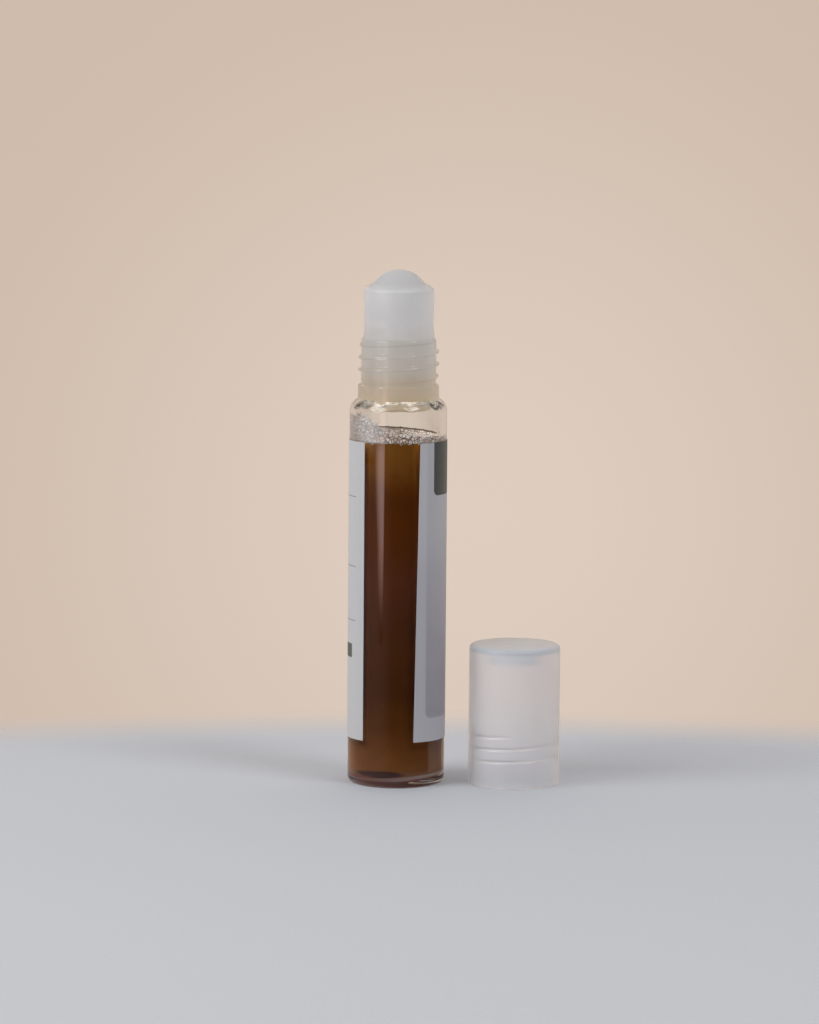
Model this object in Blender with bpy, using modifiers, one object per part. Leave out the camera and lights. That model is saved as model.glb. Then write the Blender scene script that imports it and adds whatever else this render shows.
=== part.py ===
"""Roll-on eye serum bottle, with its screw cap taken off and standing beside it.

Metres, +Z up. The origin is the centre of the glass base, on the bottle's own axis.
The bottle's bare window faces -Y, and the cap stands mouth down on the +X side.
Profiles are lists of (radius, height) points, turned about the vertical axis.
"""

import math

import bmesh
import bpy

# Fineness of the round pieces
TURN_STEPS = 48
ARC_STEPS = 4
EDGE_STEPS = 2
SOCKET_STEPS = 12
BALL_MERIDIANS = 32
BALL_PARALLELS = 16
THREAD_STEPS_PER_TURN = 24
THREAD_SIDES = 2
LABEL_COLUMNS = 40
LABEL_ROWS = 8
SHARP_ANGLE = math.radians(30)
MERGE_DISTANCE = 0.000001

# Glass bottle
BODY_RADIUS = 0.0100
BODY_HEIGHT = 0.0772
BODY_WALL = 0.0013
FLOOR_THICKNESS = 0.0026
BASE_ROUND = 0.0014
FLOOR_ROUND = 0.0015
SHOULDER_ROUND = 0.0028
BORE_FOOT_RISE = 0.0004
BEAD_RADIUS = 0.00837
BEAD_HEIGHT = 0.0029
BEAD_ROUND = 0.0003
NECK_RADIUS = 0.0077
NECK_HEIGHT = 0.00945
NECK_WALL = 0.0012
LIP_ROUND = 0.0004

# Thread on the neck, a right-hand single start
THREAD_PITCH = 0.00256
THREAD_DEPTH = 0.00065
THREAD_FOOT_GAP = 0.00155
THREAD_LIP_GAP = 0.00125
THREAD_START_ANGLE = math.radians(-20)
THREAD_RUN_OUT_TURNS = 0.12
THREAD_END_SHARE = 0.25

# Roller housing
SOCKET_WALL = 0.00085
HOUSING_HEIGHT = 0.0112
RIM_CONE_HEIGHT = 0.0016
RIM_CORNER_ROUND = 0.0007
RIM_CORNER_ANGLE = math.radians(50)
RIM_EDGE = 0.0003
FLANGE_REACH = 0.0001
FLANGE_THICKNESS = 0.0007
WAIST_DEPTH = 0.0001
WAIST_HEIGHT = 0.0010
CUP_FLOOR = 0.0012
DRAIN_RADIUS = 0.0015
PLUG_LENGTH = 0.0147
PLUG_WALL = 0.0009
PLUG_CHAMFER = 0.0004
PLUG_RING_REACH = 0.00005
PLUG_RING_HEIGHT = 0.0010
PLUG_RING_DEPTHS = (0.0030, 0.0075)
FLANGE_SEAT_GAP = 0.0001
PLUG_CLEARANCE = 0.0001

# Roller ball
BALL_RADIUS = 0.00615
BALL_CLEARANCE = 0.0002
BALL_STAND = 0.0029

# Wrap label, with its window's edges as angles from the front
LABEL_THICKNESS = 0.0001
LABEL_GAP = 0.00005
LABEL_ABOVE_BASE = 0.0097
LABEL_BELOW_SHOULDER = 0.0059
WINDOW_LEFT_ANGLE = math.radians(42.5)
WINDOW_RIGHT_TOP_ANGLE = math.radians(27.0)
WINDOW_RIGHT_BOTTOM_ANGLE = math.radians(19.7)

# Serum and its froth, filled to just below the plug
FROTH_BELOW_PLUG = 0.0012
FROTH_LEFT_DEPTH = 0.0014
FROTH_RIGHT_DEPTH = 0.0005
FROTH_CLING_DEPTH = 0.0048
FROTH_CLING_WIDTH = 0.0009
FROTH_CLING_START_ANGLE = math.radians(-150)
FROTH_CLING_END_ANGLE = math.radians(-10)
FROTH_CLING_EASE_ANGLE = math.radians(30)
SERUM_CLEARANCE = 0.0001

# Screw cap, standing beside the bottle
CAP_WALL = 0.0009
CAP_SKIRT_CLEARANCE = 0.00013
CAP_THREAD_CLEARANCE = 0.0002
CAP_TOP_THICKNESS = 0.0012
CAP_TOP_ROUND = 0.0010
CAP_DOME = 0.00015
CAP_MOUTH_CHAMFER = 0.0002
CAP_HEADROOM = 0.0015
CAP_THREAD_RISE = 0.00075
CAP_THREAD_TURNS = 2.2
CAP_THREAD_START_ANGLE = math.radians(200)
CAP_RING_RADIUS = 0.0040
CAP_RING_WALL = 0.0014
CAP_RING_TAPER = 0.0003
CAP_STAND_OFF = 0.0050

# Places that follow from the sizes above
INNER_RADIUS = BODY_RADIUS - BODY_WALL
BORE_RADIUS = NECK_RADIUS - NECK_WALL
SHOULDER_CENTRE = BODY_RADIUS - SHOULDER_ROUND
SHOULDER_SHARE = min(max((BEAD_RADIUS - SHOULDER_CENTRE) / SHOULDER_ROUND, 0.0), 1.0)
SHOULDER_ANGLE = math.acos(SHOULDER_SHARE)
BEAD_FOOT_Z = BODY_HEIGHT + SHOULDER_ROUND * math.sin(SHOULDER_ANGLE)
BEAD_TOP_Z = BEAD_FOOT_Z + BEAD_HEIGHT
LIP_Z = BEAD_TOP_Z + NECK_HEIGHT
SOCKET_RADIUS = BALL_RADIUS + BALL_CLEARANCE
HOUSING_RADIUS = SOCKET_RADIUS + SOCKET_WALL
FLANGE_Z = LIP_Z + FLANGE_SEAT_GAP
RIM_Z = LIP_Z + HOUSING_HEIGHT
BALL_Z = RIM_Z + BALL_STAND - BALL_RADIUS
PLUG_END_Z = LIP_Z - PLUG_LENGTH
FROTH_FOOT_Z = PLUG_END_Z - FROTH_BELOW_PLUG - FROTH_CLING_DEPTH
SERUM_TOP_Z = FROTH_FOOT_Z - SERUM_CLEARANCE
CAP_INNER_RADIUS = max(BEAD_RADIUS, NECK_RADIUS + THREAD_DEPTH) + CAP_SKIRT_CLEARANCE
CAP_RADIUS = CAP_INNER_RADIUS + CAP_WALL
CAP_CEILING_Z = BALL_Z + BALL_RADIUS - BEAD_FOOT_Z + CAP_HEADROOM
CAP_HEIGHT = CAP_CEILING_Z + CAP_TOP_THICKNESS
CAP_X = BODY_RADIUS + CAP_STAND_OFF + CAP_RADIUS


def clear_scene():
    """Removes the objects that a new file starts with."""
    for item in list(bpy.data.objects):
        bpy.data.objects.remove(item, do_unlink=True)


def make_collection(name):
    """A new collection in the scene."""
    collection = bpy.data.collections.new(name)
    bpy.context.scene.collection.children.link(collection)
    return collection


def make_material(name, colour, roughness, transmission=0.0, ior=1.5):
    """A Principled material in a plain colour."""
    material = bpy.data.materials.new(name)
    material.use_nodes = True
    shader = material.node_tree.nodes["Principled BSDF"]
    shader.inputs["Base Color"].default_value = colour
    shader.inputs["Roughness"].default_value = roughness
    shader.inputs["Metallic"].default_value = 0.0
    shader.inputs["Transmission Weight"].default_value = transmission
    shader.inputs["IOR"].default_value = ior
    material.diffuse_color = colour
    return material


def arc(centre_radius, centre_height, radius, start, end, steps=ARC_STEPS):
    """Points of an arc in a profile, with angles in radians up from the outward direction."""
    points = []
    for step in range(steps + 1):
        angle = start + (end - start) * step / steps
        points.append((centre_radius + radius * math.cos(angle), centre_height + radius * math.sin(angle)))
    return points


def link_mesh(name, mesh, collection, material=None):
    """An object for a mesh, in its collection."""
    item = bpy.data.objects.new(name, mesh)
    collection.objects.link(item)
    if material is not None:
        mesh.materials.append(material)
    return item


def evaluated_mesh(item):
    """A copy of an object's mesh with its modifiers applied."""
    bpy.context.view_layer.update()
    seen = item.evaluated_get(bpy.context.evaluated_depsgraph_get())
    return bpy.data.meshes.new_from_object(seen)


def shade_round(mesh):
    """Smooth shading with sharp edges kept at the corners."""
    mesh.shade_smooth()
    mesh.set_sharp_from_angle(angle=SHARP_ANGLE)


def turned(name, profile, closed, collection, material):
    """A solid of revolution: a profile, its Screw modifier, and smooth shading on the result."""
    outline = bmesh.new()
    corners = [outline.verts.new((radius, 0.0, height)) for radius, height in profile]
    for first, second in zip(corners, corners[1:]):
        outline.edges.new((first, second))
    if closed:
        outline.edges.new((corners[-1], corners[0]))
    mesh = bpy.data.meshes.new(name)
    outline.to_mesh(mesh)
    outline.free()
    item = link_mesh(name, mesh, collection)
    screw = item.modifiers.new("Turn", "SCREW")
    screw.steps = TURN_STEPS
    screw.render_steps = TURN_STEPS
    screw.use_merge_vertices = True
    screw.merge_threshold = MERGE_DISTANCE
    solid = evaluated_mesh(item)
    item.modifiers.clear()
    item.data = solid
    solid.name = name
    solid.materials.append(material)
    shade_round(solid)
    return item


def helix_ridge(name, radius, depth, start_height, turns, start_angle, collection):
    """A round ridge along a rising right-hand helix, thinner at both ends, as a closed mesh."""
    path = bpy.data.curves.new(name + "_path", "CURVE")
    path.dimensions = "3D"
    path.bevel_depth = depth
    path.bevel_resolution = THREAD_SIDES
    path.use_fill_caps = True
    spline = path.splines.new("POLY")
    steps = max(EDGE_STEPS, round(turns * THREAD_STEPS_PER_TURN))
    spline.points.add(steps)
    for index, point in enumerate(spline.points):
        travelled = turns * index / steps
        angle = start_angle + math.tau * travelled
        height = start_height + THREAD_PITCH * travelled
        point.co = (radius * math.cos(angle), radius * math.sin(angle), height, 1.0)
        from_end = min(travelled, turns - travelled) / THREAD_RUN_OUT_TURNS
        point.radius = THREAD_END_SHARE + (1.0 - THREAD_END_SHARE) * min(from_end, 1.0)
    guide = bpy.data.objects.new(name + "_path", path)
    collection.objects.link(guide)
    mesh = evaluated_mesh(guide)
    weld = bmesh.new()
    weld.from_mesh(mesh)
    bmesh.ops.remove_doubles(weld, verts=weld.verts, dist=MERGE_DISTANCE)
    weld.to_mesh(mesh)
    weld.free()
    ridge = link_mesh(name, mesh, collection)
    ridge.matrix_world = guide.matrix_world
    bpy.data.objects.remove(guide, do_unlink=True)
    ridge.hide_render = True
    ridge.display_type = "WIRE"
    return ridge


def join_ridge(item, ridge):
    """Joins a thread ridge to the piece that carries it."""
    union = item.modifiers.new("Thread", "BOOLEAN")
    union.operation = "UNION"
    union.solver = "EXACT"
    union.object = ridge


def build_glass_bottle(parts, cutters):
    """Clear glass with a thick base, a rounded shoulder, a transfer bead and a threaded neck."""
    inner_round = max(SHOULDER_ROUND - BODY_WALL, LIP_ROUND)
    inner_shoulder = INNER_RADIUS - inner_round
    floor_corner = INNER_RADIUS - FLOOR_ROUND
    profile = [(0.0, FLOOR_THICKNESS)]
    profile += arc(floor_corner, FLOOR_THICKNESS + FLOOR_ROUND, FLOOR_ROUND, -math.pi / 2, 0.0)
    profile += arc(inner_shoulder, BODY_HEIGHT, inner_round, 0.0, math.pi / 2)
    profile += [(BORE_RADIUS, BODY_HEIGHT + inner_round + BORE_FOOT_RISE)]
    profile += arc(BORE_RADIUS + LIP_ROUND, LIP_Z - LIP_ROUND, LIP_ROUND, math.pi, math.pi / 2, EDGE_STEPS)
    profile += arc(NECK_RADIUS - LIP_ROUND, LIP_Z - LIP_ROUND, LIP_ROUND, math.pi / 2, 0.0, EDGE_STEPS)
    profile += [(NECK_RADIUS, BEAD_TOP_Z)]
    bead_edge = BEAD_RADIUS - BEAD_ROUND
    profile += arc(bead_edge, BEAD_TOP_Z - BEAD_ROUND, BEAD_ROUND, math.pi / 2, 0.0, EDGE_STEPS)
    if SHOULDER_CENTRE > BEAD_RADIUS:
        profile += [(BEAD_RADIUS, BEAD_FOOT_Z)]
    profile += arc(SHOULDER_CENTRE, BODY_HEIGHT, SHOULDER_ROUND, SHOULDER_ANGLE, 0.0)
    profile += arc(BODY_RADIUS - BASE_ROUND, BASE_ROUND, BASE_ROUND, 0.0, -math.pi / 2)
    profile += [(0.0, 0.0)]
    material = make_material("clear_glass", (0.86, 0.88, 0.88, 0.35), 0.03, 1.0, 1.52)
    bottle = turned("glass_bottle", profile, False, parts, material)

    turns = (NECK_HEIGHT - THREAD_FOOT_GAP - THREAD_LIP_GAP) / THREAD_PITCH
    ridge = helix_ridge(
        "neck_thread",
        NECK_RADIUS,
        THREAD_DEPTH,
        BEAD_TOP_Z + THREAD_FOOT_GAP,
        turns,
        THREAD_START_ANGLE,
        cutters,
    )
    join_ridge(bottle, ridge)
    return bottle


def build_roller_housing(parts):
    """One moulding: the cup that keeps the ball, the flange on the lip and the plug in the neck."""
    socket_end_height = RIM_Z - RIM_EDGE - BALL_Z
    socket_end_angle = math.asin(min(socket_end_height / SOCKET_RADIUS, 1.0))
    drain_angle = -math.acos(DRAIN_RADIUS / SOCKET_RADIUS)
    hollow_top = BALL_Z + SOCKET_RADIUS * math.sin(drain_angle) - CUP_FLOOR
    plug_radius = BORE_RADIUS - PLUG_CLEARANCE
    hollow_radius = plug_radius - PLUG_WALL
    flange_top = FLANGE_Z + FLANGE_THICKNESS
    waist = HOUSING_RADIUS - WAIST_DEPTH
    corner_radius = HOUSING_RADIUS - RIM_CORNER_ROUND
    corner_z = RIM_Z - RIM_CONE_HEIGHT
    profile = [(SOCKET_RADIUS * math.cos(socket_end_angle) + RIM_EDGE, RIM_Z)]
    profile += arc(corner_radius, corner_z, RIM_CORNER_ROUND, RIM_CORNER_ANGLE, 0.0)
    profile += [(waist, flange_top + WAIST_HEIGHT)]
    profile += [(HOUSING_RADIUS + FLANGE_REACH, flange_top)]
    profile += [(HOUSING_RADIUS + FLANGE_REACH, FLANGE_Z)]
    profile += [(plug_radius, FLANGE_Z)]
    for depth in PLUG_RING_DEPTHS:
        ring_top = LIP_Z - depth
        profile += [(plug_radius, ring_top)]
        profile += [(plug_radius + PLUG_RING_REACH, ring_top - PLUG_RING_HEIGHT / 2)]
        profile += [(plug_radius, ring_top - PLUG_RING_HEIGHT)]
    profile += [(plug_radius, PLUG_END_Z + PLUG_CHAMFER)]
    profile += [(plug_radius - PLUG_CHAMFER, PLUG_END_Z)]
    profile += [(hollow_radius, PLUG_END_Z)]
    profile += [(hollow_radius, hollow_top)]
    profile += [(DRAIN_RADIUS, hollow_top)]
    profile += arc(0.0, BALL_Z, SOCKET_RADIUS, drain_angle, socket_end_angle, SOCKET_STEPS)
    material = make_material("natural_housing", (0.72, 0.73, 0.73, 1.0), 0.35, 0.35, 1.5)
    return turned("roller_housing", profile, True, parts, material)


def build_roller_ball(parts):
    """The ball, free to roll in the cup, with its origin at its centre."""
    sphere = bmesh.new()
    bmesh.ops.create_uvsphere(
        sphere, u_segments=BALL_MERIDIANS, v_segments=BALL_PARALLELS, radius=BALL_RADIUS
    )
    mesh = bpy.data.meshes.new("roller_ball")
    sphere.to_mesh(mesh)
    sphere.free()
    mesh.shade_smooth()
    material = make_material("milky_ball", (0.75, 0.76, 0.76, 1.0), 0.3, 0.2, 1.5)
    ball = link_mesh("roller_ball", mesh, parts, material)
    ball.location = (0.0, 0.0, BALL_Z)
    return ball


def build_wrap_label(parts):
    """One thin sheet round the body, from the window's right edge by the back to its left edge."""
    radius = BODY_RADIUS + LABEL_GAP
    bottom = LABEL_ABOVE_BASE
    top = BODY_HEIGHT - LABEL_BELOW_SHOULDER
    left_edge = math.tau - WINDOW_LEFT_ANGLE
    sheet = bmesh.new()
    columns = []
    for column in range(LABEL_COLUMNS + 1):
        across_share = column / LABEL_COLUMNS
        corners = []
        for row in range(LABEL_ROWS + 1):
            up_share = row / LABEL_ROWS
            right_edge = WINDOW_RIGHT_BOTTOM_ANGLE * (1.0 - up_share) + WINDOW_RIGHT_TOP_ANGLE * up_share
            angle = right_edge + (left_edge - right_edge) * across_share
            height = bottom + (top - bottom) * up_share
            corners.append(sheet.verts.new((radius * math.sin(angle), -radius * math.cos(angle), height)))
        columns.append(corners)
    for near, far in zip(columns, columns[1:]):
        for low, high in zip(range(LABEL_ROWS), range(1, LABEL_ROWS + 1)):
            sheet.faces.new((near[low], far[low], far[high], near[high]))
    mesh = bpy.data.meshes.new("wrap_label")
    sheet.to_mesh(mesh)
    sheet.free()
    shade_round(mesh)
    material = make_material("label_film", (0.62, 0.61, 0.64, 1.0), 0.5)
    label = link_mesh("wrap_label", mesh, parts, material)
    thicken = label.modifiers.new("Thickness", "SOLIDIFY")
    thicken.thickness = LABEL_THICKNESS
    thicken.offset = 1.0
    return label


def build_serum(parts):
    """The liquid, which fills the body up to its level."""
    radius = INNER_RADIUS - SERUM_CLEARANCE
    bottom = FLOOR_THICKNESS + SERUM_CLEARANCE
    corner = max(FLOOR_ROUND - SERUM_CLEARANCE, SERUM_CLEARANCE)
    profile = [(0.0, SERUM_TOP_Z), (radius, SERUM_TOP_Z)]
    profile += arc(radius - corner, bottom + corner, corner, 0.0, -math.pi / 2)
    profile += [(0.0, bottom)]
    material = make_material("brown_serum", (0.10, 0.045, 0.012, 1.0), 0.1, 0.6, 1.36)
    return turned("serum", profile, False, parts, material)


def froth_depth(across, angle, near_wall):
    """Depth of the froth: nearly level, but deeper where it clings to the wall on the left."""
    across_share = (across + INNER_RADIUS) / (INNER_RADIUS + INNER_RADIUS)
    level = FROTH_LEFT_DEPTH + (FROTH_RIGHT_DEPTH - FROTH_LEFT_DEPTH) * across_share
    inside = min(angle - FROTH_CLING_START_ANGLE, FROTH_CLING_END_ANGLE - angle)
    if not near_wall or inside <= 0.0:
        return level
    return level + (FROTH_CLING_DEPTH - level) * min(inside / FROTH_CLING_EASE_ANGLE, 1.0)


def build_serum_froth(parts):
    """The layer of bubbles on the liquid, which clings to the wall on the left."""
    radius = INNER_RADIUS - SERUM_CLEARANCE
    layer = bmesh.new()
    foot = []
    level = []
    wall = []
    for column in range(TURN_STEPS):
        angle = math.tau * column / TURN_STEPS - math.pi
        for ring, ring_radius, near_wall in ((level, radius - FROTH_CLING_WIDTH, False), (wall, radius, True)):
            x = ring_radius * math.sin(angle)
            ring.append(layer.verts.new((x, -ring_radius * math.cos(angle), froth_depth(x, angle, near_wall))))
        foot.append(layer.verts.new((radius * math.sin(angle), -radius * math.cos(angle), 0.0)))
    layer.faces.new(level)
    layer.faces.new(reversed(foot))
    for column in range(TURN_STEPS):
        for low, high in ((foot, wall), (wall, level)):
            layer.faces.new((low[column - 1], low[column], high[column], high[column - 1]))
    bmesh.ops.recalc_face_normals(layer, faces=layer.faces)
    mesh = bpy.data.meshes.new("serum_froth")
    layer.to_mesh(mesh)
    layer.free()
    shade_round(mesh)
    material = make_material("froth", (0.55, 0.47, 0.40, 1.0), 0.2, 0.5, 1.33)
    froth = link_mesh("serum_froth", mesh, parts, material)
    froth.location = (0.0, 0.0, FROTH_FOOT_Z)
    return froth


def build_screw_cap(parts, cutters):
    """One moulding: a plain skirt, a thread inside, and a ring under the top that holds the ball."""
    top_radius = CAP_RADIUS - CAP_TOP_ROUND
    dome_radius = top_radius**2 / (CAP_DOME + CAP_DOME)
    dome_edge = math.acos(top_radius / dome_radius)
    ring_end = BALL_Z + math.sqrt(BALL_RADIUS**2 - CAP_RING_RADIUS**2) - BEAD_FOOT_Z
    ring_outer = CAP_RING_RADIUS + CAP_RING_WALL
    profile = arc(0.0, CAP_HEIGHT - dome_radius, dome_radius, math.pi / 2, dome_edge, EDGE_STEPS)
    dome_foot = profile[-1][1]
    profile += arc(top_radius, dome_foot - CAP_TOP_ROUND, CAP_TOP_ROUND, math.pi / 2, 0.0)[1:]
    profile += [(CAP_RADIUS, CAP_MOUTH_CHAMFER)]
    profile += [(CAP_RADIUS - CAP_MOUTH_CHAMFER, 0.0)]
    profile += [(CAP_INNER_RADIUS + CAP_MOUTH_CHAMFER, 0.0)]
    profile += [(CAP_INNER_RADIUS, CAP_MOUTH_CHAMFER)]
    profile += [(CAP_INNER_RADIUS, CAP_CEILING_Z)]
    profile += [(ring_outer, CAP_CEILING_Z)]
    profile += [(ring_outer - CAP_RING_TAPER, ring_end)]
    profile += [(CAP_RING_RADIUS, ring_end)]
    profile += [(CAP_RING_RADIUS, CAP_CEILING_Z)]
    profile += [(0.0, CAP_CEILING_Z)]
    material = make_material("translucent_cap", (0.70, 0.69, 0.70, 1.0), 0.3, 0.6, 1.5)
    cap = turned("screw_cap", profile, False, parts, material)

    ridge = helix_ridge(
        "cap_thread",
        CAP_INNER_RADIUS,
        CAP_INNER_RADIUS - NECK_RADIUS - CAP_THREAD_CLEARANCE,
        BEAD_HEIGHT + THREAD_FOOT_GAP + CAP_THREAD_RISE,
        CAP_THREAD_TURNS,
        CAP_THREAD_START_ANGLE,
        cutters,
    )
    join_ridge(cap, ridge)
    cap.location = (CAP_X, 0.0, 0.0)
    ridge.location = cap.location
    return cap


def main():
    clear_scene()
    parts = make_collection("eye_serum_bottle")
    cutters = make_collection("thread_ridges")
    build_glass_bottle(parts, cutters)
    build_roller_housing(parts)
    build_roller_ball(parts)
    build_wrap_label(parts)
    build_serum(parts)
    build_serum_froth(parts)
    build_screw_cap(parts, cutters)


main()
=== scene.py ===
# Looks of the roll-on eye serum bottle, with its screw cap standing beside it.
# Metres, +Z up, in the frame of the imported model. The bottle's window faces -Y.
# Angles round an axis run from the front, -Y, and grow towards +X.
# Profiles are lists of (radius, height) points, turned about a vertical axis.
# Colours are red, green and blue. A pair of numbers says where a change of look starts and ends.

import random
from math import acos, asin, cos, hypot, pi, radians, sin, sqrt, tau

import bmesh
import bpy
from mathutils import Matrix, Vector


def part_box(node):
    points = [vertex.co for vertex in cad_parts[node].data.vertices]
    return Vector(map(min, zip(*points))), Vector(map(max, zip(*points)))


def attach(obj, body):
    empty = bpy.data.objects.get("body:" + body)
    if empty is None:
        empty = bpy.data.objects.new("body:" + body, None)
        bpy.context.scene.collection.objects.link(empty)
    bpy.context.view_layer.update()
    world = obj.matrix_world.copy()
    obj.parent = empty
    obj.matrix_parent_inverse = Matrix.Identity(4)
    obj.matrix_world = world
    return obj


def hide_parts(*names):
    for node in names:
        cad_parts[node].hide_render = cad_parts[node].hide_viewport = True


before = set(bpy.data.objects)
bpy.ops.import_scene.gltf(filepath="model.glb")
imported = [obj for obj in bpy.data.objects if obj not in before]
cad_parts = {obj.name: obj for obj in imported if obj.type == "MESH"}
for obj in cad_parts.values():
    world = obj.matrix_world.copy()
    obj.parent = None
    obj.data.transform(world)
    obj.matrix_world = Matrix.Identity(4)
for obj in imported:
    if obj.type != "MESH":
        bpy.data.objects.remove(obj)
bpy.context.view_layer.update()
RANDOM = random.Random(7)


def angles(*degrees):
    """The same angles in radians."""
    return tuple(radians(value) for value in degrees)


# Camera, as the photograph was taken
CAMERA_PLACE = (0.00244, -1.00125, 0.17737)
CAMERA_PITCH = radians(6.9)
CAMERA_ROLL = radians(0.45)
CAMERA_LENS = 172.27
CAMERA_SENSOR = 36.0
CAMERA_CLIP = (0.05, 20.0)

# Sizes read from the frame
GLASS_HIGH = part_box("glass_bottle")[1]
HOUSING_LOW, HOUSING_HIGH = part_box("roller_housing")
BALL_LOW, BALL_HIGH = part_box("roller_ball")
LABEL_LOW, LABEL_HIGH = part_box("wrap_label")
CAP_LOW, CAP_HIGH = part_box("screw_cap")
BODY_RADIUS = GLASS_HIGH.x
LIP_Z = GLASS_HIGH.z
RIM_Z = HOUSING_HIGH.z
PLUG_END_Z = HOUSING_LOW.z
BALL_RADIUS = (BALL_HIGH.x - BALL_LOW.x) / 2
BALL_Z = (BALL_HIGH.z + BALL_LOW.z) / 2
SERUM_TOP_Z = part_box("serum")[1].z
CAP_RADIUS = (CAP_HIGH.x - CAP_LOW.x) / 2
CAP_X = (CAP_HIGH.x + CAP_LOW.x) / 2
CAP_HEIGHT = CAP_HIGH.z

# The overlap or gap of pieces that touch, and how near to a size still counts as on it
CONTACT = 0.00003

# Fineness of the meshes
GLASS_COLUMNS = 160
HOUSING_COLUMNS = 128
CAP_COLUMNS = 160
SERUM_COLUMNS = 96
ARC_STEPS = 8
LIP_STEPS = 4
PUNT_STEPS = 16
SOCKET_STEPS = 24
DOME_STEPS = 4
THREAD_ROW = 0.00010
WALL_ROW = 0.004
BALL_CUTS = 15
BUBBLE_SUBDIVISIONS = 2
SMOOTH_ANGLE = radians(35)

# Glass bottle
BODY_HEIGHT = 0.0772
BODY_WALL = 0.0013
FLOOR_THICKNESS = 0.0025
FLOOR_TILT_SHARE = 0.075
FLOOR_DISH = 0.0020
FLOOR_DISH_POWER = 6
FLOOR_DISH_LOSS = 0.58
BASE_ROUND = 0.0014
FLOOR_ROUND = 0.0015
PUNT_RADIUS = 0.0078
PUNT_RISE = 0.0001
SHOULDER_ROUND = 0.0028
BORE_FOOT_RISE = 0.0004
BEAD_RADIUS = 0.00837
BEAD_HEIGHT = 0.0029
BEAD_ROUND = 0.0003
NECK_RADIUS = 0.0077
NECK_HEIGHT = 0.00945
NECK_WALL = 0.0012
LIP_ROUND = 0.0004
THREAD_PITCH = 0.00256
THREAD_DEPTH = 0.00065
THREAD_HALF_WIDTH = 0.00062
THREAD_CREST_POWER = 0.85
THREAD_FOOT_GAP = 0.00155
THREAD_LIP_GAP = 0.00125
THREAD_START_ANGLE = radians(70)
THREAD_RUN_OUT_TURNS = 0.12

# Waves inside the glass shoulder: how many round it, where they start and how strong they are
SHOULDER_WAVE = 0.0002
SHOULDER_WAVES = ((3, 1.0, 1.0), (8, 2.0, 0.6), (17, 0.0, 0.5))

# Finish of the glass, with painted shade on the lower flank of its thread, by share of a turn
GLASS_TINT = (0.975, 0.985, 0.98)
GLASS_LAMP_TINT = (0.95, 0.96, 0.96)
GLASS_WAVE_SCALE = 260.0
GLASS_WAVE_STRETCH = (1.0, 1.0, 0.12)
GLASS_WAVE_DEPTH = 0.00002
GRIME_SCALE = 900.0
GRIME_SHARES = (0.45, 0.75)
GRIME_ROUGHNESS = 0.03
FLANK_SHADE_COLOUR = (0.76, 0.74, 0.72)
FLANK_PHASE = 0.87
FLANK_REACH = 0.11

# Roller housing
BALL_CLEARANCE = 0.00012
RIM_CONE_HEIGHT = 0.0016
RIM_CORNER_ROUND = 0.0011
RIM_CORNER_ANGLE = radians(50)
RIM_EDGE = 0.00015
FLANGE_REACH = 0.0001
FLANGE_THICKNESS = 0.0007
WAIST_DEPTH = 0.0001
WAIST_HEIGHT = 0.0010
CUP_FLOOR = 0.0012
DRAIN_RADIUS = 0.0015
PLUG_WALL = 0.0009
PLUG_CHAMFER = 0.0004
PLUG_RING_REACH = 0.00004
PLUG_RING_HEIGHT = 0.0010
PLUG_RING_DEPTHS = (0.0030, 0.0075)
PLUG_PRESS = 0.00002

# Milky plastics, by height: serum stains the plug at its foot; painted light and shade make it warmer and
# darker in the neck, and darker at the rim
MILK_CLOUD = 0.003
MILK_CLOUD_SCALE = 420.0
MILK_GRAIN_SCALE = 5200.0
MILK_GRAIN_DEPTH = 0.0000015
MILK_LAMP_TINT = (0.93, 0.93, 0.93)
CLOUD_SHARES = (0.3, 0.7)
ROUGHNESS_SPREAD = (-0.04, 0.05)
HOUSING_STOPS = (
    (0.0795, (0.74, 0.57, 0.37)),
    # In the neck: warmer as painted light from the beige backdrop, and darker as painted shade
    (0.0835, (0.65, 0.54, 0.42)),
    (0.0865, (0.67, 0.62, 0.565)),
    (0.0915, (0.69, 0.665, 0.635)),
    (0.0955, (0.815, 0.83, 0.835)),
    (0.1012, (0.82, 0.84, 0.85)),
    # Painted shade: darker at the rim's top
    (0.1030, (0.71, 0.73, 0.735)),
)
HOUSING_ROUGHNESS = 0.34
BALL_COLOUR = (0.68, 0.69, 0.70)
BALL_ROUGHNESS = 0.36

# Wrap label
LABEL_COLUMNS = 240
LABEL_ROWS = 48
LABEL_GAP = 0.00003
LABEL_THICKNESS = 0.00009
WINDOW_LEFT_ANGLE = radians(42.5)
WINDOW_RIGHT_TOP_ANGLE = radians(27.0)
WINDOW_RIGHT_BOTTOM_ANGLE = radians(20.9)

# Label stock, with painted shade that darkens it a little towards its foot on the right face
STOCK_DARK = (0.59, 0.59, 0.59)
STOCK_PALE = (0.645, 0.64, 0.64)
STOCK_GRAIN_SCALE = 3000.0
STOCK_GRAIN_DEPTH = 0.000004
STOCK_ROUGHNESS = 0.55
RIGHT_SHADE_COLOUR = (0.53, 0.51, 0.535)
RIGHT_SHADE_HEAD = (0.056, 0.042)
RIGHT_SHADE_HEAD_SHARES = (0.4, 1.0)
RIGHT_SHADE_FOOT = (-0.010, 0.022)
RIGHT_SHADE_START = (0.0, 0.1)
RIGHT_SHADE_END = (2.6, 2.0)

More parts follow.
